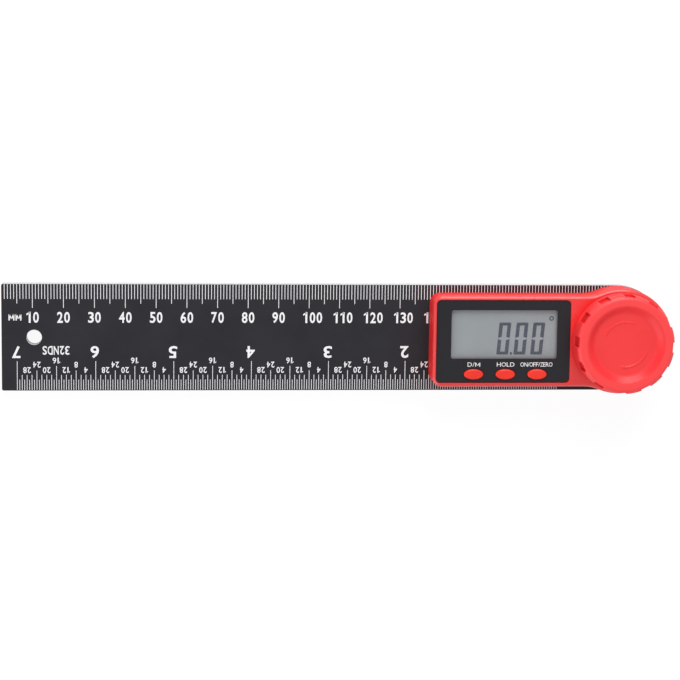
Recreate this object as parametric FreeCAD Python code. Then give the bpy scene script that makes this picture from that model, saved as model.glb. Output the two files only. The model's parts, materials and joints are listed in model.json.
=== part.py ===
import FreeCAD, Part
import math
import os

os.makedirs("parts", exist_ok=True)

# Digital angle finder: two flat ruler arms, one above the other, turn about a hub at the +X end.
# All lengths are in millimetres. The origin is on the hub's axis, in the plane of the lower arm's
# underside. The arms run along -X, and +Z points out of the display.

# Arms
arm_reach = 202.0
arm_width = 35.0
arm_thickness = 2.2
arm_corner = 0.6
hang_hole_radius = 2.5
hang_hole_inset = 10.5
friction_washer_thickness = 0.2
friction_washer_inset = 2.5

# Display case
case_reach = 62.2
case_side_margin = 2.5
case_hub_margin = 0.1
case_height = 9.6
case_wall = 1.5
case_roof = 1.6
case_corner = 3.3
case_edge_round = 1.2
case_flare_radius = 12.5

# Label panel in the roof of the case, with its clear window
panel_end_margin = 1.3
panel_side_margin = 1.45
panel_hub_overlap = 0.5
panel_thickness = 0.6
panel_corner = 1.4
panel_seat_depth = 0.8
window_west_margin = 4.8
window_east_margin = 4.2
window_north_margin = 3.25
window_south_margin = 7.85
window_corner = 0.8
roof_window_margin = 0.5

# Display stack under the roof
glass_margin = 1.0
glass_thickness = 1.8
holder_wall = 1.2
board_standoff = 1.8
strip_width = 1.6
strip_end_margin = 2.5
backer_end_margin = 2.0
backer_side_margin = 3.0

# Circuit board and what it carries
board_thickness = 1.0
board_west_gap = 0.3
board_stator_gap = 1.5
board_side_gap = 0.3
chip_radius = 2.6
chip_height = 0.9
chip_edge_margin = 0.8
switch_size = 3.0
switch_height = 1.6

# Buttons
button_length = 6.4
button_width = 3.4
button_pitch_share = 0.2386
button_row_margin = 2.75
button_middle_shift = 0.8
button_rise = 0.6
button_round = 0.5
button_flange = 0.6
button_flange_thickness = 0.6
button_plunger_radius = 0.9
button_plunger_length = 0.8

# Coin cell, its holder, its contacts and its cover in the underside of the upper arm
cell_radius = 10.0
cell_thickness = 3.2
cell_shift = 0.9
holder_gap = 0.2
cell_holder_wall = 0.6
contact_thickness = 0.3
contact_length = 14.0
contact_width = 5.0
cover_radius = 11.6
cover_thickness = 1.0
cover_ledge = 1.2
cover_tab_radius = 2.6
cover_tab_offset = 1.2
coin_slot_length = 12.0
coin_slot_width = 1.6
coin_slot_depth = 0.4
cover_screw_radius = 0.8
cover_screw_head_radius = 1.5
cover_screw_head_thickness = 0.5
cover_screw_length = 2.0

# Screws that hold the case on the upper arm, and the posts that take them
post_radius = 1.4
shoulder_radius = 2.0
screw_radius = 0.7
screw_length = 6.0
screw_head_radius = 1.5
screw_head_thickness = 0.9
screw_sink = 0.2
post_west_inset = 4.2
post_west_side_inset = 4.1
post_east_inset = 2.8
post_east_side_inset = 4.6
hub_post_inset = 1.3
hub_post_angle = 50.0

# Pivot bolt, bush and angle encoder
bolt_radius = 2.5
bolt_flat_half = 2.0
bolt_round_length = 4.5
bolt_head_radius = 6.0
bolt_head_thickness = 1.0
bolt_head_sink = 0.2
bush_wall = 1.45
bush_step = 0.6
rotor_inset = 1.5
rotor_thickness = 0.8
rotor_lift = 1.0
clip_radius = 4.8
clip_thickness = 0.4
stator_post_gap = 0.7
stator_bore_radius = 5.4
stator_thickness = 0.8
stator_air_gap = 0.8
stator_pin_inset = 1.9
stator_post_radius = 1.3
stator_pin_radius = 0.6
stator_pin_length = 1.1
boss_radius = 4.8
boss_clearance = 1.6

# Lock knob, its threaded insert and the washer it presses on
thrust_washer_radius = 9.0
thrust_washer_bore_radius = 2.8
thrust_washer_thickness = 0.8
thrust_washer_rise = 0.3
knob_height = 8.9
knob_hub_inset = 1.2
knob_shoulder = 1.8
knob_rim_width = 3.6
knob_dish_slope = 2.2
knob_dish_depth = 1.7
knob_floor_thickness = 1.8
knob_wall = 2.2
knob_boss_radius = 6.5
knob_rib_thickness = 1.2
knob_rib_count = 6
knob_notch_count = 12
knob_notch_width = 3.5
knob_notch_depth = 0.8
knob_notch_phase = -3.2
knob_foot_height = 2.2
insert_radius = 4.6
insert_height = 4.8
insert_seat = 0.2
bolt_end_gap = 0.6

# Clearances
running_gap = 0.05
loose_gap = 0.15
thread_gap = 0.05
overrun = 1.0

# Heights of the faces that the pieces share
lower_top = arm_thickness
upper_bottom = lower_top + friction_washer_thickness
upper_top = upper_bottom + arm_thickness
case_top = upper_top + case_height
roof_bottom = case_top - case_roof
panel_bottom = case_top - panel_seat_depth
glass_bottom = roof_bottom - glass_thickness
board_top = glass_bottom - board_standoff
board_bottom = board_top - board_thickness
washer_bottom = case_top + thrust_washer_rise - thrust_washer_thickness
knob_bottom = case_top + thrust_washer_rise
knob_top = knob_bottom + knob_height
knob_floor = knob_top - knob_dish_depth
rotor_bottom = upper_top + rotor_lift
rotor_top = rotor_bottom + rotor_thickness
clip_top = rotor_top + clip_thickness
stator_bottom = rotor_top + stator_air_gap
stator_top = stator_bottom + stator_thickness
bolt_head_top = bolt_head_sink + bolt_head_thickness
cover_top = upper_bottom + cover_thickness
cell_bottom = cover_top + contact_thickness
insert_bottom = knob_bottom + insert_seat
insert_top = insert_bottom + insert_height
bolt_top = insert_top - bolt_end_gap

# Places that follow from the sizes above
half_arm = arm_width / 2
hang_hole_x = hang_hole_inset - arm_reach
friction_washer_radius = half_arm - friction_washer_inset
half_case = half_arm - case_side_margin
case_hub_radius = half_arm - case_hub_margin
panel_hub_distance = case_hub_radius - panel_hub_overlap
panel_length = case_reach - panel_end_margin - panel_hub_distance
panel_width = 2 * (half_case - panel_side_margin)
panel_centre_x = -panel_hub_distance - panel_length / 2
window_length = panel_length - window_west_margin - window_east_margin
window_width = panel_width - window_north_margin - window_south_margin
window_centre_x = panel_centre_x + (window_west_margin - window_east_margin) / 2
window_centre_y = (window_south_margin - window_north_margin) / 2
glass_length = window_length + 2 * glass_margin
glass_width = window_width + 2 * glass_margin
button_pitch = panel_length * button_pitch_share
button_middle_x = panel_centre_x + button_middle_shift
button_row_y = button_row_margin - panel_width / 2
cell_centre_x = panel_centre_x + cell_shift
cell_centre_y = 0
cover_tab_reach = cover_radius + cover_tab_offset
hub_post_circle = case_hub_radius - case_wall - hub_post_inset
stator_radius = hub_post_circle - post_radius - stator_post_gap
rotor_radius = stator_radius - rotor_inset
stator_pin_circle = stator_radius - stator_pin_inset
board_east_x = -stator_radius - board_stator_gap
post_west_x = post_west_inset - case_reach
post_west_y = post_west_side_inset - half_case
post_east_x = board_east_x - post_east_inset
post_east_y = half_case - post_east_side_inset
chip_x = board_east_x - chip_edge_margin - chip_radius
knob_radius = case_hub_radius - knob_hub_inset
knob_dish_radius = knob_radius - knob_rim_width
knob_floor_radius = knob_dish_radius - knob_dish_slope
bush_bore = bolt_radius + running_gap
bush_radius = bush_bore + bush_wall
bush_neck_radius = bush_radius - bush_step
case_posts = [
    (post_west_x, post_west_y),
    (post_east_x, post_east_y),
    (post_east_x, -post_east_y),
]
hub_posts = [
    (hub_post_circle * math.cos(side * math.radians(hub_post_angle)),
     hub_post_circle * math.sin(side * math.radians(hub_post_angle)))
    for side in (1, -1)
]
button_places = {
    "mode": button_middle_x - button_pitch,
    "hold": button_middle_x,
    "zero": button_middle_x + button_pitch,
}


def point(x, y, z=0):
    return FreeCAD.Vector(x, y, z)


def block(x_low, x_high, y_low, y_high, z_low, z_high):
    corner = point(x_low, y_low, z_low)
    return Part.makeBox(x_high - x_low, y_high - y_low, z_high - z_low, corner)


def disc(radius, z_low, z_high, x=0, y=0):
    return Part.makeCylinder(radius, z_high - z_low, point(x, y, z_low))


def ring(outer, inner, z_low, z_high, x=0, y=0):
    hole = disc(inner, z_low - overrun, z_high + overrun, x, y)
    return disc(outer, z_low, z_high, x, y).cut(hole)


def rounded_block(centre_x, centre_y, length, width, z_low, z_high, radius):
    half_x = length / 2
    half_y = width / 2
    body = block(centre_x - half_x, centre_x + half_x, centre_y - half_y, centre_y + half_y,
                 z_low, z_high)
    upright = [edge for edge in body.Edges if edge.BoundBox.ZLength > edge.BoundBox.XLength
               + edge.BoundBox.YLength]
    return body.makeFillet(radius, upright)


def oval(length, width, z_low, z_high, x, y):
    curve = Part.Ellipse(point(x, y, z_low), length / 2, width / 2)
    face = Part.Face(Part.Wire([curve.toShape()]))
    return face.extrude(point(0, 0, z_high - z_low))


def arc(centre_x, centre_y, radius, start, end):
    spots = []
    for angle in (start, (start + end) / 2, end):
        spots.append(point(centre_x + radius * math.cos(angle), centre_y + radius * math.sin(angle)))
    return Part.Arc(*spots).toShape()


def line(x_start, y_start, x_end, y_end):
    return Part.LineSegment(point(x_start, y_start), point(x_end, y_end)).toShape()


def prism(edges, z_low, z_high):
    face = Part.Face(Part.Wire(edges))
    face.translate(point(0, 0, z_low))
    return face.extrude(point(0, 0, z_high - z_low))


def arm_blank(z_low, z_high):
    quarter = math.pi / 2
    west = -arm_reach
    inner = west + arm_corner
    side = half_arm - arm_corner
    edges = [
        line(inner, half_arm, 0, half_arm),
        arc(0, 0, half_arm, quarter, -quarter),
        line(0, -half_arm, inner, -half_arm),
        arc(inner, -side, arm_corner, -quarter, -2 * quarter),
        line(west, -side, west, side),
        arc(inner, side, arm_corner, 2 * quarter, quarter),
    ]
    blank = prism(edges, z_low, z_high)
    hole = disc(hang_hole_radius, z_low - overrun, z_high + overrun, hang_hole_x)
    return blank.cut(hole)


def case_prism(inset, z_low, z_high):
    quarter = math.pi / 2
    half = half_case - inset
    hub = case_hub_radius - inset
    corner = case_corner - inset
    flare = case_flare_radius + inset
    west = inset - case_reach
    bend_x = -math.sqrt((hub + flare) ** 2 - (half + flare) ** 2)
    lean = math.atan2(half + flare, bend_x)
    inner = west + corner
    side = half - corner
    edges = [
        line(inner, half, bend_x, half),
        arc(bend_x, half + flare, flare, -quarter, lean - math.pi),
        arc(0, 0, hub, lean, -lean),
        arc(bend_x, -half - flare, flare, math.pi - lean, quarter),
        line(bend_x, -half, inner, -half),
        arc(inner, -side, corner, -quarter, -2 * quarter),
        line(west, -side, west, side),
        arc(inner, side, corner, 2 * quarter, quarter),
    ]
    return prism(edges, z_low, z_high)


def stator_pin_places():
    places = []
    for turn in (1, 3, 5):
        angle = turn * math.pi / 3
        places.append((stator_pin_circle * math.cos(angle), stator_pin_circle * math.sin(angle)))
    return places


def upper_arm():
    arm = arm_blank(upper_bottom, upper_top)
    arm = arm.cut(disc(bush_radius + running_gap, upper_bottom - overrun, upper_top + overrun))
    for x, y in case_posts + hub_posts:
        head = disc(screw_head_radius + loose_gap, upper_bottom - overrun,
                    upper_bottom + screw_sink + screw_head_thickness, x, y)
        shank = disc(screw_radius + loose_gap, upper_bottom - overrun, upper_top + overrun, x, y)
        arm = arm.cut(head).cut(shank)
    mouth = disc(cover_radius - cover_ledge, upper_bottom - overrun, upper_top + overrun,
                 cell_centre_x, cell_centre_y)
    seat = disc(cover_radius + loose_gap, upper_bottom - overrun, cover_top,
                cell_centre_x, cell_centre_y)
    tab_seat = disc(cover_tab_radius + loose_gap, upper_bottom - overrun, cover_top,
                    cell_centre_x + cover_tab_reach, cell_centre_y)
    screw_hole = disc(cover_screw_radius, upper_bottom - overrun,
                      upper_bottom + cover_screw_length, cell_centre_x + cover_tab_reach,
                      cell_centre_y)
    return arm.cut(mouth).cut(seat).cut(tab_seat).cut(screw_hole)


def lower_arm():
    arm = arm_blank(0, lower_top)
    bore = disc(bush_radius, -overrun, lower_top + overrun)
    head_seat = disc(bolt_head_radius + loose_gap, -overrun, bolt_head_top)
    return arm.cut(bore).cut(head_seat)


def friction_washer():
    return ring(friction_washer_radius, bush_radius + running_gap, lower_top, upper_bottom)


def case_shell():
    shell = case_prism(0, upper_top, case_top)
    rim = [edge for edge in shell.Edges if edge.BoundBox.ZMin > case_top - case_edge_round]
    shell = shell.makeFillet(case_edge_round, rim)
    shell = shell.cut(case_prism(case_wall, upper_top - overrun, roof_bottom))
    shell = shell.cut(panel_seat())
    shell = shell.cut(rounded_block(window_centre_x, window_centre_y,
                                    window_length + 2 * roof_window_margin,
                                    window_width + 2 * roof_window_margin,
                                    roof_bottom - overrun, case_top + overrun, window_corner))
    for x in button_places.values():
        shell = shell.cut(oval(button_length + 2 * loose_gap, button_width + 2 * loose_gap,
                               roof_bottom - overrun, case_top + overrun, x, button_row_y))
    shell = shell.fuse(case_posts_solid())
    shell = shell.cut(disc(thrust_washer_radius + loose_gap, washer_bottom, case_top + overrun))
    shell = shell.cut(bolt_core(thread_gap, upper_top, case_top + overrun))
    return shell.removeSplitter()


def panel_seat():
    return rounded_block(panel_centre_x, 0, panel_length + 2 * loose_gap,
                         panel_width + 2 * loose_gap, panel_bottom, case_top + overrun,
                         panel_corner)


def case_posts_solid():
    overlap = case_roof / 4
    solids = [disc(boss_radius, clip_top + boss_clearance, roof_bottom + overlap)]
    for x, y in case_posts:
        solids.append(disc(shoulder_radius, board_top, roof_bottom + overlap, x, y))
    for x, y in case_posts + hub_posts:
        post = disc(post_radius, upper_top, roof_bottom + overlap, x, y)
        solids.append(post)
    for x, y in stator_pin_places():
        solids.append(disc(stator_post_radius, stator_top, roof_bottom + overlap, x, y))
        solids.append(disc(stator_pin_radius, stator_top - stator_pin_length,
                           stator_top + overlap, x, y))
    body = solids[0].multiFuse(solids[1:])
    for x, y in case_posts + hub_posts:
        body = body.cut(disc(screw_radius, upper_top - overrun, screw_tip(), x, y))
    return body


def screw_tip():
    return upper_bottom + screw_sink + screw_length


def case_screw(x, y):
    head_low = upper_bottom + screw_sink
    head_high = head_low + screw_head_thickness
    head = disc(screw_head_radius, head_low, head_high, x, y)
    slot = block(x - screw_head_radius, x + screw_head_radius, y - screw_radius / 3,
                 y + screw_radius / 3, head_low - overrun, head_low + screw_head_thickness / 2)
    return head.cut(slot).fuse(disc(screw_radius, head_high, screw_tip(), x, y))


def label_panel():
    panel = rounded_block(panel_centre_x, 0, panel_length, panel_width,
                          panel_bottom, panel_bottom + panel_thickness, panel_corner)
    panel = panel.cut(window_block(panel_bottom - overrun, case_top + overrun))
    for x in button_places.values():
        panel = panel.cut(oval(button_length + 2 * loose_gap, button_width + 2 * loose_gap,
                               panel_bottom - overrun, case_top + overrun, x, button_row_y))
    return panel


def window_block(z_low, z_high):
    return rounded_block(window_centre_x, window_centre_y, window_length, window_width,
                         z_low, z_high, window_corner)


def lcd_window():
    return window_block(panel_bottom, panel_bottom + panel_thickness)


def stack_block(length, width, z_low, z_high, shift=0):
    half_x = length / 2
    half_y = width / 2
    y = window_centre_y + shift
    return block(window_centre_x - half_x, window_centre_x + half_x, y - half_y, y + half_y,
                 z_low, z_high)


def lcd_glass():
    return stack_block(glass_length, glass_width, glass_bottom, roof_bottom)


def lcd_holder():
    outer = stack_block(glass_length + 2 * holder_wall, glass_width + 2 * holder_wall,
                        board_top, roof_bottom)
    inner = stack_block(glass_length, glass_width, board_top - overrun, roof_bottom + overrun)
    return outer.cut(inner)


def contact_strip():
    shift = (strip_width - glass_width) / 2
    return stack_block(glass_length - 2 * strip_end_margin, strip_width, board_top, glass_bottom,
                       shift)


def lcd_backer():
    return stack_block(glass_length - 2 * backer_end_margin,
                       glass_width - 2 * backer_side_margin, board_top, glass_bottom)


def circuit_board():
    west = case_wall + board_west_gap - case_reach
    side = half_case - case_wall - board_side_gap
    board = block(west, board_east_x, -side, side, board_bottom, board_top)
    rim = [edge for edge in board.Edges if edge.BoundBox.ZLength > board_thickness / 2]
    board = board.makeFillet(case_corner - case_wall, rim)
    for x, y in case_posts:
        board = board.cut(disc(post_radius + running_gap, board_bottom - overrun,
                               board_top + overrun, x, y))
    return board


def chip_cover():
    dome = disc(chip_radius, board_bottom - chip_height, board_bottom, chip_x)
    edge = [item for item in dome.Edges if item.BoundBox.ZMax < board_bottom - chip_height / 2]
    return dome.makeFillet(chip_height / 2, edge)


def button_switch(x):
    half = switch_size / 2
    base = block(x - half, x + half, button_row_y - half, button_row_y + half,
                 board_top, board_top + switch_height / 2)
    return base.fuse(disc(half / 2, board_top + switch_height / 2, board_top + switch_height,
                          x, button_row_y))


def button(x):
    top = case_top + button_rise
    cap = oval(button_length, button_width, roof_bottom, top, x, button_row_y)
    crown = [edge for edge in cap.Edges if edge.BoundBox.ZMin > top - button_round]
    cap = cap.makeFillet(button_round, crown)
    flange_low = roof_bottom - button_flange_thickness
    flange = oval(button_length + 2 * button_flange, button_width + 2 * button_flange,
                  flange_low, roof_bottom, x, button_row_y)
    plunger = disc(button_plunger_radius, flange_low - button_plunger_length, flange_low,
                   x, button_row_y)
    return cap.fuse(flange).fuse(plunger).removeSplitter()


def coin_cell():
    body = disc(cell_radius, cell_bottom, cell_bottom + cell_thickness,
                cell_centre_x, cell_centre_y)
    return body.makeFillet(cell_thickness / 8, body.Edges)


def cell_holder():
    inner = cell_radius + holder_gap
    outer = inner + cell_holder_wall
    wall = ring(outer, inner, upper_top, board_bottom, cell_centre_x, cell_centre_y)
    side = half_case - case_wall - board_side_gap
    room = block(cell_centre_x - outer, cell_centre_x + outer, -side, side, upper_top,
                 board_bottom)
    return wall.common(room)


def contact_leaf(z_low, z_high):
    half_x = contact_length / 2
    half_y = contact_width / 2
    return block(cell_centre_x - half_x, cell_centre_x + half_x, cell_centre_y - half_y,
                 cell_centre_y + half_y, z_low, z_high)


def cell_contact_bottom():
    return contact_leaf(cover_top, cell_bottom)


def cell_contact_top():
    cell_top = cell_bottom + cell_thickness
    leaf = contact_leaf(cell_top, cell_top + contact_thickness)
    root_x = cell_centre_x - contact_length / 2
    half_y = contact_width / 2
    foot = block(root_x, root_x + contact_width, cell_centre_y - half_y, cell_centre_y + half_y,
                 cell_top + contact_thickness, board_bottom)
    return leaf.fuse(foot).removeSplitter()


def battery_cover():
    tab_x = cell_centre_x + cover_tab_reach
    plate = disc(cover_radius, upper_bottom, cover_top, cell_centre_x, cell_centre_y)
    plate = plate.fuse(disc(cover_tab_radius, upper_bottom, cover_top, tab_x, cell_centre_y))
    half_x = coin_slot_width / 2
    half_y = coin_slot_length / 2
    slot = block(cell_centre_x - half_x, cell_centre_x + half_x, cell_centre_y - half_y,
                 cell_centre_y + half_y, upper_bottom - overrun, upper_bottom + coin_slot_depth)
    head = disc(cover_screw_head_radius, upper_bottom - overrun,
                upper_bottom + cover_screw_head_thickness, tab_x, cell_centre_y)
    shank = disc(cover_screw_radius, upper_bottom, cover_top + overrun, tab_x, cell_centre_y)
    return plate.cut(slot).cut(head).cut(shank).removeSplitter()


def battery_cover_screw():
    tab_x = cell_centre_x + cover_tab_reach
    neck = upper_bottom + cover_screw_head_thickness
    head = disc(cover_screw_head_radius, upper_bottom, neck, tab_x, cell_centre_y)
    slot = block(tab_x - cover_screw_head_radius, tab_x + cover_screw_head_radius,
                 cell_centre_y - cover_screw_radius / 3, cell_centre_y + cover_screw_radius / 3,
                 upper_bottom - overrun, upper_bottom + cover_screw_head_thickness / 2)
    shank = disc(cover_screw_radius, neck, upper_bottom + cover_screw_length,
                 tab_x, cell_centre_y)
    return head.cut(slot).fuse(shank)


def bolt_core(gap, z_low, z_high):
    radius = bolt_radius + gap
    flat = bolt_flat_half + gap
    sides = block(-radius, radius, -flat, flat, z_low, z_high)
    return disc(radius, z_low, z_high).common(sides)


def pivot_bolt():
    keyed_from = bolt_head_top + bolt_round_length
    head = disc(bolt_head_radius, bolt_head_sink, bolt_head_top)
    rim = [edge for edge in head.Edges if edge.BoundBox.ZMax < bolt_head_top]
    head = head.makeFillet(bolt_head_thickness / 4, rim)
    shank = disc(bolt_radius, bolt_head_top, keyed_from)
    keyed = bolt_core(0, keyed_from, washer_bottom)
    end = disc(bolt_radius, washer_bottom, bolt_top)
    return head.multiFuse([shank, keyed, end]).removeSplitter()


def pivot_bush():
    sleeve = disc(bush_radius, bolt_head_top, rotor_bottom)
    neck = disc(bush_neck_radius, rotor_bottom, clip_top)
    bore = disc(bush_bore, -overrun, clip_top + overrun)
    return sleeve.fuse(neck).cut(bore).removeSplitter()


def encoder_rotor():
    return ring(rotor_radius, bush_neck_radius, rotor_bottom, rotor_top)


def rotor_clip():
    return ring(clip_radius, bush_neck_radius, rotor_top, clip_top)


def encoder_stator():
    board = ring(stator_radius, stator_bore_radius, stator_bottom, stator_top)
    for x, y in stator_pin_places():
        board = board.cut(disc(stator_pin_radius + running_gap, stator_bottom - overrun,
                               stator_top + overrun, x, y))
    return board


def thrust_washer():
    return ring(thrust_washer_radius, thrust_washer_bore_radius, washer_bottom, knob_bottom)


def knob_body():
    shoulder_low = knob_top - knob_shoulder
    rim_radius = knob_radius - knob_shoulder
    bulge = knob_shoulder * math.sqrt(1 / 2)
    outline = [
        point(0, 0, knob_bottom),
        point(knob_radius, 0, knob_bottom),
        point(knob_radius, 0, shoulder_low),
    ]
    edges = [Part.LineSegment(start, end).toShape() for start, end in zip(outline, outline[1:])]
    edges.append(Part.Arc(outline[-1], point(rim_radius + bulge, 0, shoulder_low + bulge),
                          point(rim_radius, 0, knob_top)).toShape())
    inner = [
        point(rim_radius, 0, knob_top),
        point(knob_dish_radius, 0, knob_top),
        point(knob_floor_radius, 0, knob_floor),
        point(0, 0, knob_floor),
        outline[0],
    ]
    edges += [Part.LineSegment(start, end).toShape() for start, end in zip(inner, inner[1:])]
    face = Part.Face(Part.Wire(edges))
    return face.revolve(point(0, 0), point(0, 0, 1), 360)


def lock_knob():
    body = knob_body()
    ceiling = knob_floor - knob_floor_thickness
    hollow = ring(knob_radius - knob_wall, knob_boss_radius, knob_bottom - overrun, ceiling)
    for number in range(knob_rib_count):
        half = knob_rib_thickness / 2
        rib = block(0, knob_radius, -half, half, knob_bottom - overrun, knob_top)
        rib.rotate(point(0, 0), point(0, 0, 1), 360 * number / knob_rib_count)
        hollow = hollow.cut(rib)
    body = body.cut(hollow)
    for number in range(knob_notch_count):
        half = knob_notch_width / 2
        notch = block(knob_radius - knob_notch_depth, knob_radius + overrun, -half, half,
                      knob_bottom + knob_foot_height, knob_top + overrun)
        notch.rotate(point(0, 0), point(0, 0, 1),
                     knob_notch_phase + 360 * number / knob_notch_count)
        body = body.cut(notch)
    body = body.cut(disc(bolt_radius + loose_gap, knob_bottom - overrun, insert_top))
    return body.cut(insert_blank(insert_bottom, insert_top)).removeSplitter()


def insert_blank(z_low, z_high):
    corners = []
    for number in range(7):
        angle = number * math.pi / 3
        corners.append(point(insert_radius * math.cos(angle), insert_radius * math.sin(angle)))
    face = Part.Face(Part.makePolygon(corners))
    face.translate(point(0, 0, z_low))
    return face.extrude(point(0, 0, z_high - z_low))


def knob_insert():
    blank = insert_blank(insert_bottom, insert_top)
    return blank.cut(disc(bolt_radius + thread_gap, knob_bottom, insert_top + overrun))


pieces = {
    "upper_arm": upper_arm(),
    "case_shell": case_shell(),
    "label_panel": label_panel(),
    "lcd_window": lcd_window(),
    "lcd_glass": lcd_glass(),
    "lcd_holder": lcd_holder(),
    "lcd_backer": lcd_backer(),
    "contact_strip": contact_strip(),
    "circuit_board": circuit_board(),
    "chip_cover": chip_cover(),
    "coin_cell": coin_cell(),
    "cell_holder": cell_holder(),
    "cell_contact_top": cell_contact_top(),
    "cell_contact_bottom": cell_contact_bottom(),
    "battery_cover": battery_cover(),
    "battery_cover_screw": battery_cover_screw(),
    "encoder_stator": encoder_stator(),
    "pivot_bolt": pivot_bolt(),
    "lower_arm": lower_arm(),
    "friction_washer": friction_washer(),
    "pivot_bush": pivot_bush(),
    "encoder_rotor": encoder_rotor(),
    "rotor_clip": rotor_clip(),
    "thrust_washer": thrust_washer(),
    "lock_knob": lock_knob(),
    "knob_insert": knob_insert(),
}
for name, x in button_places.items():
    pieces[name + "_switch"] = button_switch(x)
    pieces[name + "_button"] = button(x)
for number, (x, y) in enumerate(case_posts + hub_posts):
    pieces["case_screw_" + str(number + 1)] = case_screw(x, y)

for name, shape in pieces.items():
    shape.exportStep("parts/" + name + ".step")
    print(name, shape.isValid(), len(shape.Solids), round(shape.Volume, 3))
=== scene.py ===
import json
import math
import bmesh
import bpy
from mathutils import Matrix, Vector

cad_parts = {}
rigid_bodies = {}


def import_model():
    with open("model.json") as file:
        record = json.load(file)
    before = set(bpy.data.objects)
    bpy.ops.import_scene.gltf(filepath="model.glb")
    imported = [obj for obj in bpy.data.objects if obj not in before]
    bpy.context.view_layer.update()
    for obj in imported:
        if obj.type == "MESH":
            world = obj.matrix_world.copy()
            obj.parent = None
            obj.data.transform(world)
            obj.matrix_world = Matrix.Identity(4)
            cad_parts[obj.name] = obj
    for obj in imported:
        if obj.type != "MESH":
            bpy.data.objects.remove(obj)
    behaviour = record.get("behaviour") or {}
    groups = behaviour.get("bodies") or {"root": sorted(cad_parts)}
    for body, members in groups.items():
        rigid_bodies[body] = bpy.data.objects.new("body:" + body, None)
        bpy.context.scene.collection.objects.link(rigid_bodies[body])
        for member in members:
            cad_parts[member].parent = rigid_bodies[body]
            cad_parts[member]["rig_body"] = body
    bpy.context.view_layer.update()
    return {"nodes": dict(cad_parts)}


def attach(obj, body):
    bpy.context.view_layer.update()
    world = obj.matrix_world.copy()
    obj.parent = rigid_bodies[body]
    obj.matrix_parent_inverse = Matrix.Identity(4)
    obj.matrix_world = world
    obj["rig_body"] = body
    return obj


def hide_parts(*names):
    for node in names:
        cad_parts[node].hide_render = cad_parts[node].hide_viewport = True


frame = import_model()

mm = 0.001
nodes = frame["nodes"]
# meshValues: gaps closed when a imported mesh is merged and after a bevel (mm), the angles up to
# which faces count as one flat face and as one smooth surface, and the angle of a sharp edge
meshValues = {"merge": 0.002, "weld": 0.0005, "flat": 0.5, "smooth": 40, "sharp": 30}
print("frame loaded, nodes:", len(nodes))


# small helpers
def linear(colour):
    # a colour written 0 to 255, as the shader wants it
    parts = [c / 255 for c in colour]
    return tuple(c / 12.92 if c <= 0.04045 else ((c + 0.055) / 1.055) ** 2.4 for c in parts) + (1,)


def spot(x, y, z=0):
    return Vector((x * mm, y * mm, z * mm))


def newPiece(name, shape, material, body, replaced=(), smoothAngle=None):
    mesh = bpy.data.meshes.new(name)
    if not replaced:
        bmesh.ops.recalc_face_normals(shape, faces=shape.faces)
    shape.to_mesh(mesh)
    shape.free()
    mesh.materials.append(material)
    piece = bpy.data.objects.new(name, mesh)
    bpy.context.scene.collection.objects.link(piece)
    if smoothAngle:
        mesh.shade_smooth()
        mesh.set_sharp_from_angle(angle=math.radians(smoothAngle))
        weighted = piece.modifiers.new("weightedNormals", "WEIGHTED_NORMAL")
        weighted.keep_sharp = True
    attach(piece, body)
    if replaced:
        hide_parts(*replaced)


def weld(shape, distance):
    # no doubled points and no faces without area
    bmesh.ops.remove_doubles(shape, verts=shape.verts, dist=distance)
    bmesh.ops.dissolve_degenerate(shape, edges=shape.edges, dist=distance)


def bevelEdges(shape, edges, width, segments):
    bmesh.ops.bevel(shape, geom=edges, offset=width * mm, offset_type="OFFSET", affect="EDGES",
                    segments=segments, profile=0.5, material=-1, clamp_overlap=True)
    weld(shape, meshValues["weld"] * mm)


def mergedCopy(nodeName):
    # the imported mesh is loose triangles: the copy is merged, and its flat faces are made whole
    shape = bmesh.new()
    shape.from_mesh(nodes[nodeName].data)
    bmesh.ops.remove_doubles(shape, verts=shape.verts, dist=meshValues["merge"] * mm)
    bmesh.ops.dissolve_limit(shape, angle_limit=math.radians(meshValues["flat"]),
                             verts=shape.verts, edges=shape.edges)
    return shape


def sharpEdges(shape, angle):
    return [e for e in shape.edges if len(e.link_faces) == 2
            and e.calc_face_angle(0) > math.radians(angle)]


def bodyOf(nodeName):
    return nodes[nodeName]["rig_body"]


def dressNode(nodeName, pieceName, material, slot, bevel, segments=2):
    # a merged copy of a node with its sharp edges rounded, shown in the node's place
    shape = mergedCopy(nodeName)
    bevelEdges(shape, sharpEdges(shape, meshValues["sharp"]), bevel, segments)
    newPiece(pieceName, shape, material, bodyOf(nodeName), (nodeName,),
             meshValues["smooth"])


def addBlock(shape, xLow, xHigh, yLow, yHigh, zLow, zHigh):
    made = bmesh.ops.create_cube(shape, size=1)
    bmesh.ops.scale(shape, verts=made["verts"],
                    vec=((xHigh - xLow) * mm, (yHigh - yLow) * mm, (zHigh - zLow) * mm))
    bmesh.ops.translate(shape, verts=made["verts"],
                        vec=spot((xLow + xHigh) / 2, (yLow + yHigh) / 2, (zLow + zHigh) / 2))
    return made["verts"]


def placeMesh(shape, mesh, width, height, zLow, zHigh, x, y, turn):
    # a glyph that fills the unit box, put with its lower left corner at x, y of its own line
    squeeze = Matrix.Diagonal((width * mm, height * mm, (zHigh - zLow) * mm, 1))
    place = Matrix.Translation(spot(x, y, zLow))
    copied = mesh.copy()
    copied.transform(turn @ place @ squeeze)
    shape.from_mesh(copied)
    bpy.data.meshes.remove(copied)


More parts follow.
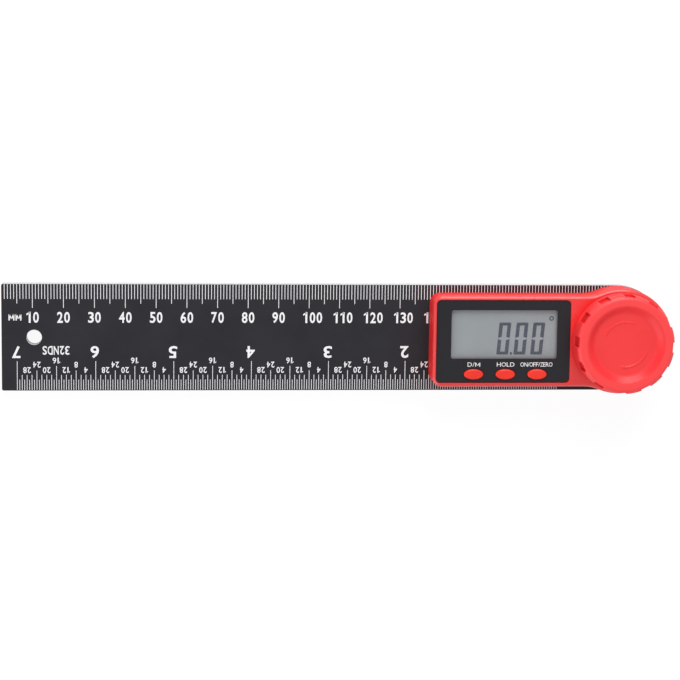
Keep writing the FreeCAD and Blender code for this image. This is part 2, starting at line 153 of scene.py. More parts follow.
# glyphValues, as shares of the letter's box: the gap closed, the flagged one's stem (right side,
# thickness) and flag (left side, its underside and thickness at the tip and at the stem), the M's
# bars (thickness, growth with the boldness), how thick its slanted bars are beside them, and the
# foot where those meet (half width, height); steps is the number of parts of a curve
glyphValues = {
    "steps": 3, "weld": 0.0005, "stem": (0.80, 0.34), "flagLeft": 0.06,
    "flagLow": (0.68, 0.83), "flagThick": (0.153, 0.17), "barM": (0.15, 5), "slantM": 0.9,
    "footM": (0.01, 0.22),
}


def faceGlyph(letter, bold, values):
    # a letter of the built-in face as a mesh that fills the unit box
    curve = bpy.data.curves.new("letter", "FONT")
    curve.body = letter
    curve.resolution_u = values["steps"]
    curve.offset = bold
    curve.extrude = 0.5
    holder = bpy.data.objects.new("letter", curve)
    bpy.context.scene.collection.objects.link(holder)
    bpy.context.view_layer.update()
    mesh = bpy.data.meshes.new_from_object(
        holder.evaluated_get(bpy.context.evaluated_depsgraph_get()))
    xs = [v.co.x for v in mesh.vertices]
    ys = [v.co.y for v in mesh.vertices]
    toCorner = Matrix.Translation((-min(xs), -min(ys), 0.5))
    fill = Matrix.Diagonal((1 / (max(xs) - min(xs)), 1 / (max(ys) - min(ys)), 1, 1))
    mesh.transform(fill @ toCorner)
    bpy.data.objects.remove(holder)
    bpy.data.curves.remove(curve)
    shape = bmesh.new()
    shape.from_mesh(mesh)
    weld(shape, values["weld"])
    shape.to_mesh(mesh)
    shape.free()
    return mesh


def addStroke(shape, lower, upper, width):
    # a straight stroke with level ends, in a unit box
    verts = bmesh.ops.create_cube(shape, size=1)["verts"]
    for vert in verts:
        end = upper if vert.co.y > 0 else lower
        vert.co = Vector((end[0] + vert.co.x * width, end[1], vert.co.z + 0.5))


def strokeGlyph(letter, bold, values):
    # the flagged one and the straight-sided M, which the built-in face draws otherwise
    shape = bmesh.new()
    if letter == "1":
        edge, weight = values["stem"]
        middle = edge - weight / 2
        addStroke(shape, (middle, 0), (middle, 1), weight)
        for vert in bmesh.ops.create_cube(shape, size=1)["verts"]:
            right = vert.co.x > 0
            lift = values["flagThick"][right] if vert.co.y > 0 else 0
            vert.co = Vector((middle if right else values["flagLeft"],
                              values["flagLow"][right] + lift, vert.co.z + 0.5))
    else:
        weight = values["barM"][0] + values["barM"][1] * bold
        half, foot = values["footM"]
        for outer, inner in ((weight / 2, 0.5 - half), (1 - weight / 2, 0.5 + half)):
            addStroke(shape, (outer, 0), (outer, 1), weight)
            addStroke(shape, (inner, foot), (outer, 1), weight * values["slantM"])
    mesh = bpy.data.meshes.new("glyph")
    shape.to_mesh(mesh)
    shape.free()
    return mesh


glyphs = {}


def glyph(letter, bold):
    # each letter is drawn once for each boldness
    key = (letter, bold)
    if key not in glyphs:
        draw = strokeGlyph if letter in "1M" else faceGlyph
        glyphs[key] = draw(letter, bold, glyphValues)
    return glyphs[key]


def addLine(shape, parts, centre, height, zLow, zHigh, bold, turned=False):
    # letters side by side, each with its own width and the gap after it, about a centre
    total = sum(width + gap for letter, width, gap in parts) - parts[-1][2]
    turn = Matrix.Translation(spot(centre[0], centre[1])) @ Matrix.Rotation(
        math.pi if turned else 0, 4, "Z")
    x = -total / 2
    for letter, width, gap in parts:
        placeMesh(shape, glyph(letter, bold), width, height, zLow, zHigh, x, -height / 2, turn)
        x += width + gap


def addNumber(shape, digits, centre, size, zLow, zHigh, turned=False):
    # the digits of a number, all of one size
    width, gap, height, bold = size
    addLine(shape, [(digit, width, gap) for digit in digits], centre, height, zLow, zHigh,
            bold, turned)


# materials; patternValues: between which values a noise counts for the tones, the rubbed edges,
# the roughness and the tarnish, between which values the rounded normal shows an edge, and each
# noise's fineness, detail and roughness (for mottle and grain the look says the fineness)
patternValues = {
    "tone": (0.35, 0.65), "wear": (0.42, 0.62), "rough": (0.3, 0.7), "tarnish": (0.35, 0.7),
    "edge": (0.82, 0.995), "mottleNoise": (4, 0.6), "grainNoise": (2, 0.5),
    "wearNoise": (900, 5, 0.7), "roughNoise": (260, 3, 0.6), "streakNoise": (900, 4, 0.6),
    "tarnishNoise": (220, 4, 0.6), "streakBump": (0.2, 0.01),
}


def startMaterial(name):
    material = bpy.data.materials.new(name)
    material.use_nodes = True
    return material, material.node_tree, material.node_tree.nodes["Principled BSDF"]


def addNode(tree, kind, **values):
    node = tree.nodes.new(kind)
    for key, value in values.items():
        setattr(node, key, value)
    return node


def objectPlace(tree):
    return addNode(tree, "ShaderNodeTexCoord").outputs["Object"]


def addNoise(tree, place, scale, detail=3, rough=0.5):
    noise = addNode(tree, "ShaderNodeTexNoise")
    noise.inputs["Scale"].default_value = scale
    noise.inputs["Detail"].default_value = detail
    noise.inputs["Roughness"].default_value = rough
    tree.links.new(place, noise.inputs["Vector"])
    return noise.outputs["Fac"]


def addRange(tree, source, low, high, outLow, outHigh):
    ranged = addNode(tree, "ShaderNodeMapRange")
    for key, value in zip(("From Min", "From Max", "To Min", "To Max"),
                          (low, high, outLow, outHigh)):
        ranged.inputs[key].default_value = value
    tree.links.new(source, ranged.inputs["Value"])
    return ranged.outputs["Result"]


def addMix(tree, factor, first, second):
    mix = addNode(tree, "ShaderNodeMix", data_type="RGBA")
    tree.links.new(factor, mix.inputs["Factor"])
    for socket, colour in ((mix.inputs[6], first), (mix.inputs[7], second)):
        if isinstance(colour, tuple):
            socket.default_value = linear(colour)
        else:
            tree.links.new(colour, socket)
    return mix.outputs[2]


def addBump(tree, height, strength, depth, shader):
    bump = addNode(tree, "ShaderNodeBump")
    bump.inputs["Strength"].default_value = strength
    bump.inputs["Distance"].default_value = depth * mm
    tree.links.new(height, bump.inputs["Height"])
    tree.links.new(bump.outputs["Normal"], shader.inputs["Normal"])


def addEdgeWear(tree, radius, low, high):
    # how near a point is to a convex or concave edge, from the rounded normal
    bevel = addNode(tree, "ShaderNodeBevel", samples=4)
    bevel.inputs["Radius"].default_value = radius * mm
    flat = addNode(tree, "ShaderNodeNewGeometry")
    dot = addNode(tree, "ShaderNodeVectorMath", operation="DOT_PRODUCT")
    tree.links.new(bevel.outputs["Normal"], dot.inputs[0])
    tree.links.new(flat.outputs["True Normal"], dot.inputs[1])
    return addRange(tree, dot.outputs["Value"], low, high, 1, 0)


def multiply(tree, first, second):
    node = addNode(tree, "ShaderNodeMath", operation="MULTIPLY")
    tree.links.new(first, node.inputs[0])
    tree.links.new(second, node.inputs[1])
    return node.outputs[0]


def addTones(tree, noise, look, span="tone"):
    # two close tones, mixed where the noise says
    factor = addRange(tree, noise, *patternValues[span], 0, 1)
    return addMix(tree, factor, look["colour"], look["shade"])


def addRough(tree, noise, look, shader):
    # the roughness wanders within the look's span
    tree.links.new(addRange(tree, noise, *patternValues["rough"], *look["rough"]),
                   shader.inputs["Roughness"])


def plastic(name, look):
    # moulded plastic or a sprayed coat: two close tones, a fine spark-eroded grain, rubbed edges
    material, tree, shader = startMaterial(name)
    place = objectPlace(tree)
    mottle = addNoise(tree, place, look["mottle"], *patternValues["mottleNoise"])
    tone = addTones(tree, mottle, look)
    rubs = addNoise(tree, place, *patternValues["wearNoise"])
    wear = multiply(tree, addEdgeWear(tree, look["edgeWidth"], *patternValues["edge"]),
                    addRange(tree, rubs, *patternValues["wear"], 0, look["edge"]))
    tree.links.new(addMix(tree, wear, tone, look["rubbed"]), shader.inputs["Base Color"])
    addRough(tree, addNoise(tree, place, *patternValues["roughNoise"]), look, shader)
    shader.inputs["Specular IOR Level"].default_value = look["gloss"]
    grain = addNoise(tree, place, look["grain"], *patternValues["grainNoise"])
    addBump(tree, grain, look["bump"], look["bumpDepth"], shader)
    return material


def nearAxis(tree, inner, outer):
    # 1 within the inner radius about the pivot axis, 0 beyond the outer one
    flat = addNode(tree, "ShaderNodeVectorMath", operation="MULTIPLY")
    flat.inputs[1].default_value = (1, 1, 0)
    tree.links.new(objectPlace(tree), flat.inputs[0])
    away = addNode(tree, "ShaderNodeVectorMath", operation="LENGTH")
    tree.links.new(flat.outputs["Vector"], away.inputs[0])
    return addRange(tree, away.outputs["Value"], inner * mm, outer * mm, 1, 0)


def belowHeight(tree, low, high):
    # 1 under the low height, 0 over the high one
    split = addNode(tree, "ShaderNodeSeparateXYZ")
    tree.links.new(objectPlace(tree), split.inputs[0])
    return addRange(tree, split.outputs["Z"], low * mm, high * mm, 1, 0)


def ringAbout(tree, inner, outer):
    # 1 between two radii about the pivot axis, fading over the given spans
    beyond = addNode(tree, "ShaderNodeMath", operation="SUBTRACT")
    beyond.inputs[0].default_value = 1
    tree.links.new(nearAxis(tree, *inner), beyond.inputs[1])
    return multiply(tree, nearAxis(tree, *outer), beyond.outputs[0])


def recolour(material, factor, colour):
    # another colour laid over a plastic where the factor is 1
    tree = material.node_tree
    shader = tree.nodes["Principled BSDF"]
    under = shader.inputs["Base Color"].links[0].from_socket
    tree.links.new(addMix(tree, factor, under, colour), shader.inputs["Base Color"])


def steepness(tree, low, high):
    # 1 on upright walls, 0 on level faces
    geometry = addNode(tree, "ShaderNodeNewGeometry")
    split = addNode(tree, "ShaderNodeSeparateXYZ")
    tree.links.new(geometry.outputs["Normal"], split.inputs[0])
    size = addNode(tree, "ShaderNodeMath", operation="ABSOLUTE")
    tree.links.new(split.outputs["Z"], size.inputs[0])
    return addRange(tree, size.outputs[0], low, high, 1, 0)


def dullWalls(material, share, rough, low, high):
    # upright walls of a moulding are textured: they shine less and more softly than level faces
    tree = material.node_tree
    shader = tree.nodes["Principled BSDF"]
    steep = steepness(tree, low, high)
    level = shader.inputs["Specular IOR Level"].default_value
    tree.links.new(addRange(tree, steep, 0, 1, level, level * share),
                   shader.inputs["Specular IOR Level"])
    raised = addNode(tree, "ShaderNodeMath", operation="ADD")
    tree.links.new(shader.inputs["Roughness"].links[0].from_socket, raised.inputs[0])
    tree.links.new(addRange(tree, steep, 0, 1, 0, rough), raised.inputs[1])
    tree.links.new(raised.outputs[0], shader.inputs["Roughness"])


def metal(name, look):
    # turned or stamped metal: fine brushed streaks and a little tarnish
    material, tree, shader = startMaterial(name)
    place = objectPlace(tree)
    stretch = addNode(tree, "ShaderNodeMapping")
    stretch.inputs["Scale"].default_value = look["streak"]
    tree.links.new(place, stretch.inputs["Vector"])
    streaks = addNoise(tree, stretch.outputs["Vector"], *patternValues["streakNoise"])
    tarnish = addNoise(tree, place, *patternValues["tarnishNoise"])
    tree.links.new(addTones(tree, tarnish, look, "tarnish"), shader.inputs["Base Color"])
    shader.inputs["Metallic"].default_value = 1
    addRough(tree, streaks, look, shader)
    addBump(tree, streaks, *patternValues["streakBump"], shader)
    return material


# one look for each material: colours 0 to 255, lengths in mm; walls says how much of the shine
# upright walls keep, how much rougher they are, and between which slopes that sets in
caseLook = {"colour": (234, 37, 38), "shade": (227, 31, 33), "rubbed": (248, 90, 88),
            "mottle": 45, "edgeWidth": 0.35, "edge": 0.3, "rough": (0.26, 0.34),
            "gloss": 0.75, "grain": 7000, "bump": 0.1, "bumpDepth": 0.02,
            "walls": (0.5, 0.25, 0.04, 0.25)}
knobLook = {"colour": (249, 59, 61), "shade": (243, 53, 55), "rubbed": (252, 100, 100),
            "mottle": 60, "edgeWidth": 0.35, "edge": 0.35, "rough": (0.32, 0.4),
            "gloss": 0.4, "grain": 6000, "bump": 0.1, "bumpDepth": 0.02,
            "walls": (0.3, 0.15, 0.1, 0.6),
            # painted highlight: the rim ring is paler than the rest of the knob
            "rim": (254, 68, 70), "rimSpan": ((12.6, 13.2), (15.6, 16.2)),
            # painted shade: the notches below their top are a darker red, standing in for the
            # shade in these recesses
            "pocket": (218, 34, 38), "pocketSpan": (15.55, 16.0), "pocketTop": (20.8, 21.4),
            # painted shade: a deeper, darker red on the slope round the dish, standing in for the
            # shade and red bounce in the hollow
            "slope": (248, 42, 48), "slopeSpan": ((10.0, 10.9), (12.2, 12.9))}
buttonLook = {"colour": (246, 52, 34), "shade": (240, 46, 30), "rubbed": (250, 112, 96),
              "mottle": 200, "edgeWidth": 0.2, "edge": 0.25, "rough": (0.3, 0.38),
              "gloss": 0.4, "grain": 9000, "bump": 0.06, "bumpDepth": 0.01}
armLook = {"colour": (42, 41, 46), "shade": (36, 35, 40), "rubbed": (74, 73, 80),
           "mottle": 70, "edgeWidth": 0.2, "edge": 0.2, "rough": (0.44, 0.56),
           "gloss": 0.18, "grain": 5200, "bump": 0.2, "bumpDepth": 0.02,
           "cut": (206, 206, 209), "cutSlope": (0.3, 0.8)}
panelLook = {"colour": (36, 35, 40), "shade": (32, 31, 36), "rubbed": (60, 60, 66),
             "mottle": 40, "edgeWidth": 0.12, "edge": 0.3, "rough": (0.26, 0.34),
             "gloss": 0.2, "grain": 4000, "bump": 0.05, "bumpDepth": 0.01}
innerLook = {"colour": (34, 34, 37), "shade": (28, 28, 30), "rubbed": (70, 70, 74),
             "mottle": 120, "edgeWidth": 0.2, "edge": 0.3, "rough": (0.5, 0.65),
             "gloss": 0.4, "grain": 5000, "bump": 0.2, "bumpDepth": 0.02}
holderLook = {"colour": (226, 226, 220), "shade": (214, 214, 208), "rubbed": (240, 240, 236),
              "mottle": 90, "edgeWidth": 0.2, "edge": 0.2, "rough": (0.4, 0.55),
              "gloss": 0.45, "grain": 5000, "bump": 0.1, "bumpDepth": 0.02}
rubberLook = {"colour": (96, 96, 100), "shade": (80, 80, 84), "rubbed": (110, 110, 112),
              "mottle": 400, "edgeWidth": 0.2, "edge": 0.2, "rough": (0.7, 0.85),
              "gloss": 0.25, "grain": 3000, "bump": 0.3, "bumpDepth": 0.04}
washerLook = {"colour": (206, 204, 196), "shade": (192, 190, 181), "rubbed": (222, 221, 216),
              "mottle": 150, "edgeWidth": 0.15, "edge": 0.3, "rough": (0.35, 0.5),
              "gloss": 0.4, "grain": 3500, "bump": 0.12, "bumpDepth": 0.02}
chipLook = {"colour": (24, 24, 26), "shade": (18, 18, 20), "rubbed": (50, 50, 54),
            "mottle": 200, "edgeWidth": 0.2, "edge": 0.2, "rough": (0.25, 0.4),
            "gloss": 0.5, "grain": 1500, "bump": 0.2, "bumpDepth": 0.05}
printLook = {"colour": (250, 250, 252), "shade": (243, 243, 246), "rubbed": (236, 236, 240),
             "mottle": 500, "edgeWidth": 0.05, "edge": 0.1, "rough": (0.45, 0.6),
             "gloss": 0.35, "grain": 5000, "bump": 0.1, "bumpDepth": 0.01}
boltLook = {"colour": (196, 196, 198), "shade": (170, 170, 174), "streak": (1, 6, 1),
            "rough": (0.22, 0.38)}
screwLook = {"colour": (178, 178, 182), "shade": (150, 150, 156), "streak": (6, 1, 1),
             "rough": (0.25, 0.42)}
cellLook = {"colour": (206, 206, 208), "shade": (186, 186, 190), "streak": (1, 1, 6),
            "rough": (0.18, 0.3)}
contactLook = {"colour": (204, 198, 182), "shade": (182, 174, 156), "streak": (8, 1, 1),
               "rough": (0.24, 0.36)}
brassLook = {"colour": (200, 164, 96), "shade": (176, 138, 74), "streak": (1, 1, 8),
             "rough": (0.25, 0.42)}
switchLook = {"colour": (190, 190, 194), "shade": (164, 164, 168), "streak": (1, 5, 1),
              "rough": (0.28, 0.44)}

caseRed = plastic("caseRed", caseLook)
knobRed = plastic("knobRed", knobLook)
buttonRed = plastic("buttonRed", buttonLook)
armBlack = plastic("armBlack", armLook)
panelBlack = plastic("panelBlack", panelLook)
innerBlack = plastic("innerBlack", innerLook)
holderWhite = plastic("holderWhite", holderLook)
stripRubber = plastic("stripRubber", rubberLook)
washerPolymer = plastic("washerPolymer", washerLook)
chipBlack = plastic("chipBlack", chipLook)
scalePrint = plastic("scalePrint", printLook)
boltSteel = metal("boltSteel", boltLook)
screwSteel = metal("screwSteel", screwLook)
cellSteel = metal("cellSteel", cellLook)
contactSteel = metal("contactSteel", contactLook)
bushBrass = metal("bushBrass", brassLook)
switchSteel = metal("switchSteel", switchLook)

dullWalls(caseRed, *caseLook["walls"])
dullWalls(knobRed, *knobLook["walls"])
# the arms' cut edges are bare metal
recolour(armBlack, steepness(armBlack.node_tree, *armLook["cutSlope"]), armLook["cut"])
# the knob's painted light: a paler rim ring as a painted highlight, a deeper red in the notches
# under its shoulder as painted shade, and a deeper red round the dish's slope as painted shade
tree = knobRed.node_tree
recolour(knobRed, ringAbout(tree, *knobLook["rimSpan"]), knobLook["rim"])
# painted shade in the notches under the shoulder
recolour(knobRed, multiply(tree, nearAxis(tree, *knobLook["pocketSpan"]),
                           belowHeight(tree, *knobLook["pocketTop"])), knobLook["pocket"])
# painted shade on the slope round the dish
recolour(knobRed, ringAbout(tree, *knobLook["slopeSpan"]), knobLook["slope"])

displayLook = {"colour": (163, 169, 172), "shade": (158, 164, 167), "rough": (0.3, 0.4),
               "gloss": 0.4, "edgeColour": (142, 144, 148), "centre": (-38.6, 2.3),
               "half": (17.5, 8.0), "edgeWidth": 0.9, "fade": 1.6, "mottle": 60,
               "roughScale": 400}
windowLook = {"colour": (150, 154, 160), "film": (130, 5, 0.65), "filmSpan": (0.3, 0.75),
              "rough": (0.06, 0.18), "alphaSpan": (0.35, 0.75), "alpha": (0.05, 0.08),
              "bend": 1.49}
inkLook = {"colour": (58, 63, 78), "shade": (64, 69, 84), "mottle": 700, "rough": 0.5}
boardLook = {"runs": ((22, 84, 50), (18, 74, 44), (44, 118, 66)), "runScale": 260,
             "runGap": 0.12, "pad": (200, 170, 96), "padScale": 420, "padSize": (0.1, 0.14),
             "rough": (0.25, 0.4), "roughScale": 500, "bump": 0.4, "bumpDepth": 0.03}


def displayGlass(look):
    # grey liquid crystal glass, a little darker where the frame shades its border
    material, tree, shader = startMaterial("displayGlass")
    place = objectPlace(tree)
    split = addNode(tree, "ShaderNodeSeparateXYZ")
    tree.links.new(place, split.inputs[0])
    gaps = []
    for axis, middle, half in zip(("X", "Y"), look["centre"], look["half"]):
        away = addNode(tree, "ShaderNodeMath", operation="SUBTRACT")
        tree.links.new(split.outputs[axis], away.inputs[0])
        away.inputs[1].default_value = middle * mm
        size = addNode(tree, "ShaderNodeMath", operation="ABSOLUTE")
        tree.links.new(away.outputs[0], size.inputs[0])
        gaps.append(addRange(tree, size.outputs[0], (half - look["edgeWidth"]) * mm, half * mm,
                             0, 1))
    nearest = addNode(tree, "ShaderNodeMath", operation="MAXIMUM")
    tree.links.new(gaps[0], nearest.inputs[0])
    tree.links.new(gaps[1], nearest.inputs[1])
    soft = addNode(tree, "ShaderNodeMath", operation="POWER")
    tree.links.new(nearest.outputs[0], soft.inputs[0])
    soft.inputs[1].default_value = look["fade"]
    tone = addTones(tree, addNoise(tree, place, look["mottle"]), look, "rough")
    tree.links.new(addMix(tree, soft.outputs[0], tone, look["edgeColour"]),
                   shader.inputs["Base Color"])
    addRough(tree, addNoise(tree, place, look["roughScale"]), look, shader)
    shader.inputs["Specular IOR Level"].default_value = look["gloss"]
    return material


def clearWindow(look):
    # thin clear cover, see-through, with a faint film of handling on it
    material, tree, shader = startMaterial("clearWindow")
    film = addNoise(tree, objectPlace(tree), *look["film"])
    tree.links.new(addRange(tree, film, *look["filmSpan"], *look["rough"]),
                   shader.inputs["Roughness"])
    tree.links.new(addRange(tree, film, *look["alphaSpan"], *look["alpha"]),
                   shader.inputs["Alpha"])
    shader.inputs["Base Color"].default_value = linear(look["colour"])
    shader.inputs["IOR"].default_value = look["bend"]
    return material


def segmentInk(look):
    # the figures' dark bars
    material, tree, shader = startMaterial("segmentInk")
    tone = addTones(tree, addNoise(tree, objectPlace(tree), look["mottle"]), look)
    tree.links.new(tone, shader.inputs["Base Color"])
    shader.inputs["Roughness"].default_value = look["rough"]
    return material


def boardGreen(look):
    # solder mask over copper runs, with bare pads
    material, tree, shader = startMaterial("boardGreen")
    place = objectPlace(tree)
    runs = addNode(tree, "ShaderNodeTexBrick", offset=0.5)
    runs.inputs["Scale"].default_value = look["runScale"]
    runs.inputs["Mortar Size"].default_value = look["runGap"]
    for key, colour in zip(("Color1", "Color2", "Mortar"), look["runs"]):
        runs.inputs[key].default_value = linear(colour)
    tree.links.new(place, runs.inputs["Vector"])
    pads = addNode(tree, "ShaderNodeTexVoronoi")
    pads.inputs["Scale"].default_value = look["padScale"]
    tree.links.new(place, pads.inputs["Vector"])
    spots = addRange(tree, pads.outputs["Distance"], *look["padSize"], 1, 0)
    tree.links.new(addMix(tree, spots, runs.outputs["Color"], look["pad"]),
                   shader.inputs["Base Color"])
    addRough(tree, addNoise(tree, place, look["roughScale"]), look, shader)
    addBump(tree, runs.outputs["Fac"], look["bump"], look["bumpDepth"], shader)
    return material


displayGrey = displayGlass(displayLook)
windowClear = clearWindow(windowLook)
segmentDark = segmentInk(inkLook)
circuitGreen = boardGreen(boardLook)
print("materials made")

# the carried-over inner nodes
innerFinish = {
    "lcd_glass": displayGrey, "lcd_holder": holderWhite, "lcd_backer": stripRubber,
    "contact_strip": stripRubber, "circuit_board": circuitGreen, "chip_cover": chipBlack,
    "coin_cell": cellSteel, "cell_holder": innerBlack, "cell_contact_top": contactSteel,
    "cell_contact_bottom": contactSteel, "encoder_stator": circuitGreen,
    "encoder_rotor": circuitGreen, "rotor_clip": boltSteel, "knob_insert": bushBrass,
    "mode_switch": switchSteel, "hold_switch": switchSteel, "zero_switch": switchSteel,
}
for nodeName, material in innerFinish.items():
    nodes[nodeName].data.materials.clear()
    nodes[nodeName].data.materials.append(material)
print("inner nodes finished")

# arms and fixings: node, piece, material, slot, width of the rounded edges
armPieces = [
    ("upper_arm", "upperArm", armBlack, "arm_black", 0.14),
    ("lower_arm", "lowerArm", armBlack, "arm_black", 0.14),
    ("friction_washer", "frictionWasher", washerPolymer, "washer_polymer", 0.03),
    ("pivot_bush", "pivotBush", bushBrass, "bush_brass", 0.06),
    ("pivot_bolt", "pivotBolt", boltSteel, "bolt_steel", 0.08),
    ("battery_cover", "batteryCover", innerBlack, "inner_black", 0.08),
    ("battery_cover_screw", "batteryCoverScrew", screwSteel, "screw_steel", 0.05),
]
armPieces += [("case_screw_%d" % number, "caseScrew%d" % number, screwSteel, "screw_steel", 0.06)
              for number in range(1, 6)]
for piece in armPieces:
    dressNode(*piece)
print("arms and fixings dressed")

# scales: millimetres on the upper edge, inches in 32nds on the lower edge; a digit's size is its
# width, the gap after it, its height and its boldness; a word is its letters (letter, width,
# gap), its centre, its height and its boldness; an arm is its name, the height of its face,
# whether the case covers its end, and its body, and lastMark goes by whether it is covered
scaleValues = {
    "west": -202.0, "edge": 17.5, "edgeGap": 0.1, "line": 0.2, "inchLine": 0.18, "ink": 0.03,
    "millimetres": 200, "tickLengths": (4.9, 6.4, 7.8), "digitMiddle": 6.59,
    "digit": (1.84, 0.42, 3.6, 0.02), "lastMark": {True: 140, False: 190},
    "inch": 25.4, "inchParts": 32, "inchZero": 182.77, "inches": 7,
    "inchTicks": (-7.81, -9.4, -10.86, -12.32, -13.91), "tickKinds": {0: 0, 16: 1, 8: 2, 24: 2},
    "inchBottom": -17.25, "inchDigitMiddle": -4.8, "inchShift": -0.3,
    "inchDigit": (2.75, 0, 3.95, 0.02), "smallDigit": (1.14, 0.2, 1.95, 0.014),
    "smallLabels": {4: -10.75, 8: -8.98, 12: -10.75, 16: -7.6, 20: -10.75, 24: -8.98,
                    28: -10.75},
    "caseWest": -61.5, "underCase": 14.0, "lastLabel": -62.5,
    "unitWord": ([("M", 1.9, 0.36), ("M", 1.9, 0)], (-197.62, 6.62), 2.15, 0.014),
    "inchWord": ([("3", 1.42, 0.3), ("2", 1.42, 0.34), ("N", 1.62, 0.34), ("D", 1.6, 0.26),
                  ("S", 1.42, 0)], (-184.48, -4.25), 2.85, 0.016),
    "arms": (("upper", 4.6, True, "main_arm"), ("lower", 2.2, False, "lower_arm")),
}


def addMillimetres(shape, face, covered, values):
    top = values["edge"] - values["edgeGap"]
    half = values["line"] / 2
    for mark in range(1, values["millimetres"] + 1):
        x = values["west"] + mark
        length = values["tickLengths"][2 if mark % 10 == 0 else 1 if mark % 5 == 0 else 0]
        bottom = values["edge"] - length
        if covered and x > values["caseWest"]:
            bottom = values["underCase"]
        addBlock(shape, x - half, x + half, bottom, top, face, face + values["ink"])


def inchPlace(values, inches):
    return values["west"] + values["inchZero"] - values["inch"] * inches


def addInches(shape, face, covered, values):
    # five lengths of tick: inches, halves, quarters, then eighths and sixteenths, then 32nds
    half = values["inchLine"] / 2
    for count in range(values["inches"] * values["inchParts"] + 1):
        part = count % values["inchParts"]
        kind = values["tickKinds"].get(part, 3 if part % 2 == 0 else 4)
        x = inchPlace(values, count / values["inchParts"])
        top = values["inchTicks"][kind]
        if covered and x > values["caseWest"]:
            top = -values["underCase"]
        addBlock(shape, x - half, x + half, values["inchBottom"], top, face,
                 face + values["ink"])


def addNumerals(shape, face, covered, values):
    levels = (face, face + values["ink"])
    width, gap = values["digit"][:2]
    for mark in range(10, values["lastMark"][covered] + 1, 10):
        digits = str(mark)
        # three figures start where two do, so that the last one hangs over to the right
        x = values["west"] + mark + (len(digits) - 2) * (width + gap) / 2
        addNumber(shape, digits, (x, values["digitMiddle"]), values["digit"], *levels)
    for word, turned in (("unitWord", False), ("inchWord", True)):
        parts, centre, height, bold = values[word]
        addLine(shape, parts, centre, height, *levels, bold, turned)
    for inch in range(1, values["inches"] + 1):
        x = inchPlace(values, inch)
        if not covered or x < values["lastLabel"]:
            addNumber(shape, str(inch), (x + values["inchShift"], values["inchDigitMiddle"]),
                      values["inchDigit"], *levels, True)
    for inch in range(values["inches"]):
        for part, y in values["smallLabels"].items():
            x = inchPlace(values, inch + part / values["inchParts"])
            if not covered or x < values["lastLabel"]:
                addNumber(shape, str(part), (x, y), values["smallDigit"], *levels, True)


for armName, face, covered, body in scaleValues["arms"]:
    for kind, addMarks in (("MillimetreScale", addMillimetres), ("InchScale", addInches),
                           ("Numerals", addNumerals)):
        marks = bmesh.new()
        addMarks(marks, face, covered, scaleValues)
        newPiece(armName + kind, marks, scalePrint, body)
print("scales drawn")

# display case: node, piece, material, slot, width of the rounded edges, steps across them
casePieces = [
    ("case_shell", "displayCase", caseRed, "case_red", 0.16, 3),
    ("label_panel", "labelPanel", panelBlack, "panel_black", 0.1),
    ("lcd_window", "displayWindow", windowClear, "window_clear", 0.08),
]
casePieces += [(name + "_button", name + "Button", buttonRed, "button_red", 0.06)
               for name in ("mode", "hold", "zero")]
casePieces += [("thrust_washer", "thrustWasher", washerPolymer, "washer_polymer", 0.08)]
for piece in casePieces:
    dressNode(*piece)
print("display case dressed")

# lettering on the panel: each word's middle, then its letters as letter, width, gap
panelValues = {"face": 14.0, "ink": 0.03, "middle": -7.59, "height": 1.4, "bold": 0.0}
panelWords = (
    (-48.5, [("D", 1.42, 0.2), ("/", 0.72, 0.16), ("M", 1.66, 0)]),
    (-38.0, [("H", 1.3, 0.24), ("O", 1.5, 0.22), ("L", 1.0, 0.14), ("D", 1.42, 0)]),
    (-27.8, [("O", 1.2, 0.1), ("N", 1.08, 0.02), ("/", 0.6, 0.0), ("O", 1.2, 0.08),
             ("F", 0.78, 0.08), ("F", 0.78, 0.02), ("/", 0.6, 0.02), ("Z", 0.94, 0.06),
             ("E", 0.8, 0.08), ("R", 0.94, 0.04), ("O", 1.2, 0)]),
)
letters = bmesh.new()
for x, parts in panelWords:
    addLine(letters, parts, (x, panelValues["middle"]), panelValues["height"],
            panelValues["face"], panelValues["face"] + panelValues["ink"],
            panelValues["bold"])
newPiece("panelWords", letters, scalePrint, "main_arm")

# display figures: three noughts, a point and the degree ring
figureValues = {"face": 12.6, "ink": 0.04, "low": -4.47, "high": 6.09, "width": 3.9,
                "starts": (-40.97, -35.29, -29.74), "bar": 1.2, "lieBar": 0.98, "gap": 0.1,
                "endCut": 0.8, "middleCut": 0.3, "middleGap": 0.38, "slant": 4.8,
                "point": (-36.1, -4.1, 0.36), "ring": (-22.9, 7.45, 0.78, 0.4),
                "ringSteps": 32}


def addBar(shape, start, end, side, bar, cuts, values):
    # one bar of a figure, its inner side cut back at both ends by a share of its thickness
    (x0, y0), (x1, y1) = start, end
    along = Vector((x1 - x0, y1 - y0)).normalized()
    inward = Vector(side) * bar
    verts = addBlock(shape, 0, 1, 0, 1, values["face"], values["face"] + values["ink"])
    for vert in verts:
        far = vert.co.x > 0.5 * mm
        inner = vert.co.y > 0.5 * mm
        flat = Vector((x1, y1)) if far else Vector((x0, y0))
        if inner:
            flat = flat + inward + along * bar * (-cuts[1] if far else cuts[0])
        vert.co.x = flat.x * mm
        vert.co.y = flat.y * mm


